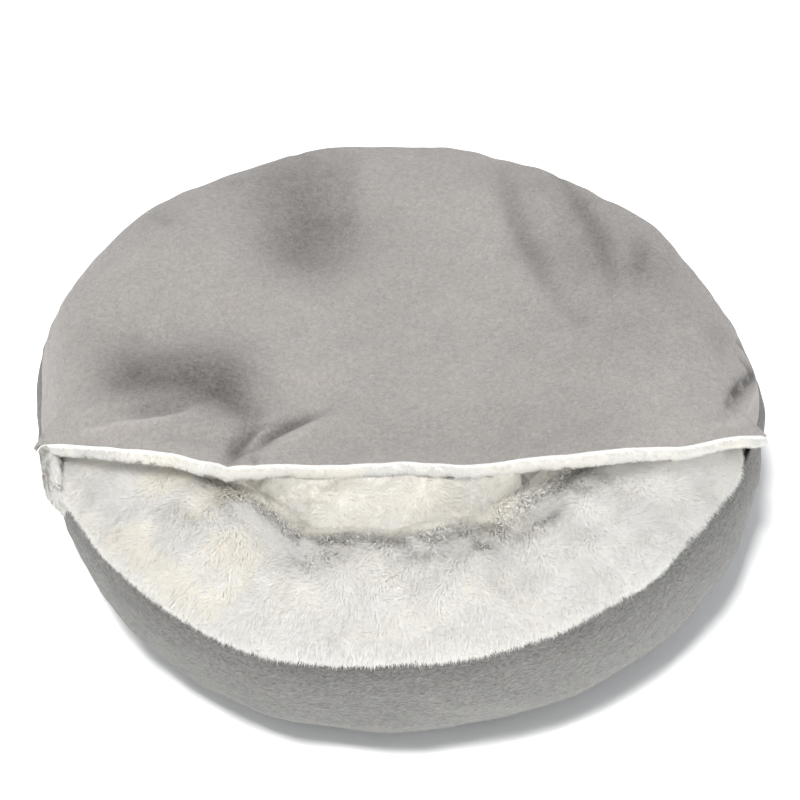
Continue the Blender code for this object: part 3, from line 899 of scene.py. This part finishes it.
def shade_of(rng, root, cream, painted_shade_share, inside=NOWHERE):
    """Number of a strand's material, by chance: cream and the next are the shares of cream strands and
    of darker strands painted as shade. Past the turn called inside, strands take lighter copies,
    painted light for plush in shade."""
    drift = 0.5 + 0.35 * Waves(31, 0.05)(root)
    draw = rng.random(len(root))
    shade = np.where(draw < 0.55, WHITE, SOFT_WHITE)
    shade = np.where(draw > 1.0 - cream * np.clip(2.0 * drift, 0.0, 2.0), CREAM, shade)
    # Painted shade: a share of darker strands, for the shadows between the tufts.
    shade = np.where(draw > 1.0 - painted_shade_share, PAINTED_SHADE, shade)
    # Painted light: lighter copies of the strands past the turn called inside.
    painted_lighter = np.where(shade == CREAM, PAINTED_LIGHT_CREAM, np.where(shade == PAINTED_SHADE, PAINTED_SHADE, PAINTED_LIGHT_WHITE))
    turn = turn_of(root) + 20.0 * (rng.random(len(root)) - 0.5)
    return np.where(turn > inside, painted_lighter, shade)


def grow(pile, skin, density, lay_of, sizes, shares, counts, rng):
    """Add strands to a pile: counts are of bent and straight ones, sizes the least and most
    length and width, and shares those of cream strands and of darker strands painted as shade, and
    the turn past which all take lighter copies, painted light."""
    for count, bent in zip(counts, (True, False)):
        root, normal = scatter(skin, count, rng, density)
        draws = rng.random((4, count))
        lay = swirled(lay_of(root, normal), normal, 0.30 * rng.normal(size=count))
        length = sizes[0] + (sizes[1] - sizes[0]) * draws[0]
        width = sizes[2] + (sizes[3] - sizes[2]) * draws[1]
        lift = 0.35 + 0.40 * draws[2]
        droop = (0.35 + 0.35 * draws[3]) * bent
        pile.add(root, normal, lay, length, width, lift, droop, shade_of(rng, root, *shares), bent)


TUFTS = Waves(41, 0.011)
TEETH = Waves(43, 0.009)


def pile_on_ring(name, start, end, cream, rng):
    """Pile of the open ring between two azimuths, with a share of cream strands."""
    def density(points):
        azimuth, turn = azimuth_of(points), turn_of(points)
        there = (azimuth >= start) & (azimuth < end)
        past_seam = smooth(21.0, 27.0, turn - seam_shift(azimuth))
        return there * past_seam * smooth(130.0, 108.0, turn)

    def lay_of(root, normal):
        return ring_lay(root, normal, 42) + 0.30 * TUFTS.pull(root)

    def at_lip(points):
        return density(points) * bell(turn_of(points) - seam_shift(azimuth_of(points)) - 29.0, 5.0)

    def hanging(root, normal):
        out, along = directions(root)
        return 0.5 * out - np.array([0.0, 0.0, 0.9]) + 0.35 * TEETH(root)[:, None] * along

    pile = Pile()
    # Strands past turn 112 take the lighter copies: painted light for the ring's inner slope.
    grow(pile, ring_skin, density, lay_of, (0.0065, 0.0105, 0.0006, 0.0010),
         (cream, 0.03, 112.0), (21000, 62000), rng)
    grow(pile, ring_skin, at_lip, hanging, (0.0060, 0.0120, 0.0006, 0.0011),
         (0.08, 0.03), (5000, 5000), rng)
    pile.piece(name, "plush_ring")


def pile_inside(rng):
    """Pile of the ring's inner slope: dense where it is seen past the hem, thinner in the cave."""
    def density(points):
        turn, opened = turn_of(points), open_front(azimuth_of(points), 2.0)
        seen = opened * smooth(108.0, 130.0, turn) * smooth(205.0, 180.0, turn)
        return seen + 0.3 * (1.0 - opened) * smooth(85.0, 100.0, turn) * (turn < 200.0)

    pile = Pile()
    # All these strands take the lighter copies: painted light for the shaded inner slope and cave.
    grow(pile, ring_skin, density, lambda root, normal: ring_lay(root, normal, 42),
         (0.0065, 0.0105, 0.0007, 0.0012), (0.25, 0.015, EVERYWHERE), (14000, 50000), rng)
    pile.piece("ring_pile_inside", "plush_ring")


rng = np.random.default_rng(11)
pile_on_ring("ring_pile_left", 196.0, 246.0, 0.36, rng)
pile_on_ring("ring_pile_middle", 246.0, 300.0, 0.14, rng)
pile_on_ring("ring_pile_right", 300.0, 349.0, 0.08, rng)
pile_inside(rng)


# ---- the hem and lining of the hood ----

LINING_UNDER = 0.0032           # depth of the lining's upper face under the hood's outer face
LINING_BODY = 0.0036            # thickness of the lining without its pile
ROLL_OUT, ROLL_UP = 0.0048, 0.0050     # half sizes of the rolled hem without its pile
ROLL_MIDDLE = (0.0012, -0.0056)        # its middle: past the suede's edge, and above its face
ROLL_TURNS = (125.0, -115.0)    # where the roll starts and ends, in degrees round its middle
WIDEN = 0.007                   # how much wider than the hood's the lining's folds are


def make_lining():
    """The lining as a closed sheet whose free edge rolls round the hem, without its pile, and
    the numbers at which the roll's points start and end."""
    roll_steps = 15
    upper = [(0.0, 1)]
    upper += [(level, COLUMNS if level < 4 else 2 * COLUMNS) for level in np.linspace(1.0, 12.0, 12)]
    upper += [(level, HEM_COLUMNS) for level in (12.5, 12.9)]
    lower = [(level, HEM_COLUMNS) for level in np.linspace(HOOD_RINGS, 8.0, 24)]
    lower += [(level, 2 * COLUMNS) for level in np.linspace(7.7, 3.2, 16)]
    lower += [(level, COLUMNS) for level in np.linspace(2.9, 0.5, 7)] + [(0.0, 1)]
    counts, level, column = stacked(upper)
    top, normal, _ = hood_surface(level, column, WIDEN)
    top = top - LINING_UNDER * normal
    low_counts, level, column = stacked(lower)
    bottom, normal, _ = hood_surface(level, column, WIDEN)
    sewn = 1.0 - open_front(azimuth_of(bottom), 3.0)
    thin = smooth(0.80, 1.0, level / HOOD_RINGS) * sewn
    bottom = bottom - (LINING_UNDER + LINING_BODY * (1.0 - 0.7 * thin))[:, None] * normal
    column = columns_of(HEM_COLUMNS)
    edge, normal, _ = hood_surface(np.full(HEM_COLUMNS, float(HOOD_RINGS)), column)
    inner = hood_surface(np.full(HEM_COLUMNS, HOOD_RINGS - 0.3), column)[0]
    run = np.roll(edge, -1, axis=0) - np.roll(edge, 1, axis=0)
    outward = unit(np.cross(run, normal))
    outward *= np.sign(((edge - inner) * outward).sum(axis=1, keepdims=True))
    opened = open_front(azimuth_of(edge), 3.0)[:, None]
    lumps = 1.0 + 0.03 * Waves(51, 0.060)(edge)[:, None]
    first, last = ROLL_TURNS
    rolls = []
    for angle in np.radians(np.linspace(first, last, roll_steps)):
        past = ROLL_MIDDLE[0] + ROLL_OUT * math.cos(angle)
        above = ROLL_MIDDLE[1] + ROLL_UP * math.sin(angle)
        hem = edge + (past * outward + above * normal) * lumps
        share = (math.radians(first) - angle) / math.radians(first - last)
        flat = edge - (LINING_UNDER + 0.3 * LINING_BODY * share) * normal
        rolls.append(flat + (hem - flat) * opened)
    points = np.concatenate([top] + rolls + [bottom])
    skin = Skin(points, ring_faces(counts + [HEM_COLUMNS] * roll_steps + low_counts))
    return skin, sum(counts), sum(counts) + HEM_COLUMNS * roll_steps


lining_skin, roll_start, roll_end = make_lining()
lining = piece_of("lining", lining_skin.points, lining_skin.faces,
                  [undercoat("lining_undercoat", (0.90, 0.895, 0.875))],
                  "plush_lining", ["hood_lining"])


# Middle line of the hem's tail, where it turns down at the left corner and is sewn to the wall:
# azimuth, distance from the middle and height, with its half width and half thickness.
TAIL_ROWS = (
    (202.6, 0.2850, 0.1450, 0.0165, 0.0044),
    (202.2, 0.2900, 0.1400, 0.0185, 0.0046),
    (202.4, 0.2922, 0.1320, 0.0180, 0.0044),
    (203.2, 0.2928, 0.1240, 0.0150, 0.0040),
    (205.0, 0.2900, 0.1170, 0.0110, 0.0034),
    (207.4, 0.2850, 0.1120, 0.0060, 0.0028),
)


def make_tail():
    """The hem's tail as a flattened tube that tapers to its sewn end, without its pile."""
    rows = Loft(np.repeat(np.array(TAIL_ROWS)[:, None, :], 3, axis=1))
    at = np.linspace(0.0, len(TAIL_ROWS) - 1.0, 40)
    azimuth, away, height, wide, thick = rows(at, 0.0 * at).T
    azimuth = np.radians(azimuth)
    middle = round_axis(azimuth, away, height)
    out = round_axis(azimuth, 1.0, 0.35)
    along = unit(np.gradient(middle, axis=0))
    out = unit(out - along * (out * along).sum(axis=1, keepdims=True))
    across = np.cross(along, out)
    count = 24
    angle = np.arange(count) * 2.0 * math.pi / count
    blunt = np.sqrt(np.clip(1.0 - np.abs(2.0 * at / at[-1] - 1.0) ** 8, 0.02, 1.0))
    sideways, through = np.cos(angle)[:, None], np.sin(angle)[:, None]
    rings = [middle[k] + blunt[k] * (wide[k] * sideways * across[k] + thick[k] * through * out[k])
             for k in range(len(at))]
    points = np.concatenate([middle[:1]] + rings + [middle[-1:]])
    return Skin(points, ring_faces([1] + [count] * len(at) + [1]))


tail_skin = make_tail()
piece_of("hem_tail", tail_skin.points, tail_skin.faces,
         [undercoat("tail_undercoat", (0.84, 0.835, 0.81))], "plush_lining")


def pile_on_lining(rng):
    """Short pile round the hem, and longer pile under the hood."""
    triangles = lining_skin.triangles
    rolled = (triangles >= roll_start + 3 * HEM_COLUMNS) & (triangles < roll_end + HEM_COLUMNS)
    hem = Skin(lining_skin.points, triangles[rolled.all(axis=1)].tolist())
    ceiling = Skin(lining_skin.points, triangles[(triangles >= roll_end).all(axis=1)].tolist())
    drift, fine = Waves(52, 0.020), Waves(53, 0.007)

    def hem_lay(root, normal):
        along = directions(root)[1]
        angle = 0.35 * drift(root) + 0.35 * fine(root)
        return swirled(0.5 * along + np.array([0.0, -0.7, -0.5]), normal, angle)

    def ceiling_lay(root, normal):
        return np.array([0.0, -1.0, 0.0]) + 0.7 * drift.pull(root)

    def under_hood(points):
        return smooth(0.0, 0.02, 0.27 - np.hypot(points[:, 0], points[:, 1]))

    pile = Pile()
    grow(pile, hem, lambda points: open_front(azimuth_of(points), 2.0), hem_lay,
         (0.0026, 0.0042, 0.0004, 0.0007), (0.34, 0.03), (8000, 24000), rng)
    grow(pile, tail_skin, lambda points: 1.0 + 0.0 * points[:, 0], hem_lay,
         (0.0035, 0.0055, 0.0005, 0.0009), (0.10, 0.05), (1500, 3500), rng)
    pile.piece("hem_pile", "plush_lining")
    pile = Pile()
    # All strands under the hood take the lighter copies: painted light.
    grow(pile, ceiling, under_hood, ceiling_lay,
         (0.0060, 0.0085, 0.0010, 0.0015), (0.10, 0.03, EVERYWHERE), (2000, 18000), rng)
    pile.piece("lining_pile", "plush_lining")


pile_on_lining(np.random.default_rng(12))


# ---- the cushion ----

def stuffed(pad, frames=20, cap=0.008):
    """Swell a pad as stuffed cloth under pressure, moving no point further than cap."""
    mesh = pad.data
    start = np.array([v.co for v in mesh.vertices])
    cloth = pad.modifiers.new("stuffing", "CLOTH")
    cloth.settings.use_pressure = True
    cloth.settings.uniform_pressure_force = 4.0
    cloth.settings.effector_weights.gravity = 0.0
    cloth.point_cache.frame_start, cloth.point_cache.frame_end = 1, frames
    scene = bpy.context.scene
    for at in range(1, frames + 1):
        scene.frame_set(at)
    shaped = pad.evaluated_get(bpy.context.evaluated_depsgraph_get())
    moved = np.array([v.co for v in shaped.data.vertices]) - start
    pad.modifiers.remove(cloth)
    scene.frame_set(1)
    far = np.maximum(np.linalg.norm(moved, axis=1, keepdims=True), 1e-9)
    moved *= np.minimum(1.0, cap / far)
    mesh.vertices.foreach_set("co", (start + moved).astype(np.float32).ravel())
    mesh.update()


def make_cushion():
    """The centre cushion's pad: its solid set in by the pile, stuffed and smoothed."""
    body = welded("cushion")
    mesh = bpy.data.meshes.new("cushion_pad")
    body.to_mesh(mesh)
    body.free()
    pad = placed("cushion_pad", mesh)
    low, high = (np.array(corner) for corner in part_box("cushion"))
    middle = 0.5 * (low + high)
    points = np.array([v.co for v in mesh.vertices])
    inset = np.array([0.5, 0.5, 0.45]) * CUSHION_PILE + 0.002
    points = middle + (points - middle) * (1.0 - inset / (0.5 * (high - low)))
    points[:, 2] -= 0.3 * CUSHION_PILE
    mesh.vertices.foreach_set("co", points.astype(np.float32).ravel())
    remesh = pad.modifiers.new("remesh", "REMESH")
    remesh.mode, remesh.voxel_size = "VOXEL", 0.005
    bpy.context.view_layer.objects.active = pad
    bpy.ops.object.modifier_apply(modifier=remesh.name)
    stuffed(pad)
    finer = pad.modifiers.new("finer", "SUBSURF")
    finer.levels = 1
    bpy.ops.object.modifier_apply(modifier=finer.name)
    pad.data.shade_smooth()
    return pad


pad = make_cushion()
mount(pad, "plush_cushion", ["cushion"])
# Painted light: the cushion's undercoat is lighter than the ring's, for the cushion in the hood's
# shade.
pad.data.materials.append(undercoat("cushion_undercoat", (0.965, 0.95, 0.90)))
pad_skin = Skin(np.array([v.co for v in pad.data.vertices]),
                [list(face.vertices) for face in pad.data.polygons])
pad_skin.points[:, 2] = np.maximum(pad_skin.points[:, 2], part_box("cushion")[0][2])
lumps = 0.0013 * np.minimum(Waves(61, 0.055)(pad_skin.points), 1.0)
pad_skin.push(lumps * (pad_skin.points[:, 2] > 0.045))
pad.data.vertices.foreach_set("co", pad_skin.points.astype(np.float32).ravel())


def pile_on_cushion(rng):
    drift, fine = Waves(62, 0.045), Waves(63, 0.014)

    def density(points):
        return smooth(0.035, 0.055, points[:, 2]) * (1.0 - 0.55 * smooth(-0.02, 0.06, points[:, 1]))

    def lay_of(root, normal):
        angle = 0.8 * drift(root) + 0.4 * fine(root)
        return swirled(np.array([0.15, -1.0, -0.2]) + 0.0 * root, normal, angle)

    pile = Pile()
    # All the cushion's strands take the lighter copies: painted light for the cushion in the hood's
    # shade.
    grow(pile, pad_skin, density, lay_of, (0.0060, 0.0095, 0.0006, 0.0010),
         (0.45, 0.008, EVERYWHERE), (11000, 30000), rng)
    pile.piece("cushion_pile", "plush_cushion")


pile_on_cushion(np.random.default_rng(13))
